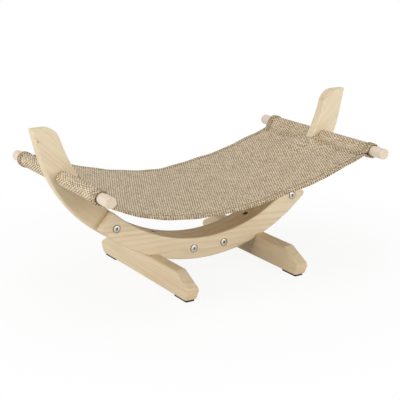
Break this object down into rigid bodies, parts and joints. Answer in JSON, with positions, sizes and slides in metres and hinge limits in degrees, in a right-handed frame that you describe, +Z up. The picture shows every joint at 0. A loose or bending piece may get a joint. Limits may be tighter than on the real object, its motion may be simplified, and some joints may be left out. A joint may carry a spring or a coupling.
{
  "type": "cat hammock",
  "caption": "Free-standing pet hammock: a woven sling hung from round dowels in the horns of a laminated wooden bow, on crosswise feet with thin pads.",
  "frame": {"origin": "on the floor, under the middle of the bow", "axes": "+X along the bow from the left horn to the right one, +Y from the front to the rear along the dowels, +Z up"},
  "size_m": [0.6032, 0.35, 0.2779],
  "materials": {
    "horn_wood": "natural pine, sanded, satin",
    "cheek_wood": "pale natural pine, sanded, satin",
    "foot_wood": "natural pine, sanded, satin",
    "dowel_wood": "pale turned hardwood, satin",
    "sling_weave": "coarse two-tone twill, cream and brown",
    "fastener_steel": "zinc-plated, bright",
    "pad_rubber": "matt black"
  },
  "bodies": {
    "frame": {"left_horn": "horn_wood", "right_horn": "horn_wood", "front_cheek": "cheek_wood", "rear_cheek": "cheek_wood", "left_foot": "foot_wood", "right_foot": "foot_wood", "sling": "sling_weave", "cheek_bolts": "fastener_steel", "cheek_nuts": "fastener_steel", "foot_screws": "fastener_steel", "front_left_pad": "pad_rubber", "front_right_pad": "pad_rubber", "rear_left_pad": "pad_rubber", "rear_right_pad": "pad_rubber"},
    "left_dowel": {"left_dowel": "dowel_wood"},
    "right_dowel": {"right_dowel": "dowel_wood"}
  },
  "joints": [
    {"name": "left_dowel_spin", "type": "hinge", "parent": "frame", "child": "left_dowel", "pos_m": [-0.25529, 0, 0.19511], "axis": [0, 1, 0], "continuous": true},
    {"name": "right_dowel_spin", "type": "hinge", "parent": "frame", "child": "right_dowel", "pos_m": [0.25529, 0, 0.19511], "axis": [0, 1, 0], "continuous": true}
  ]
}
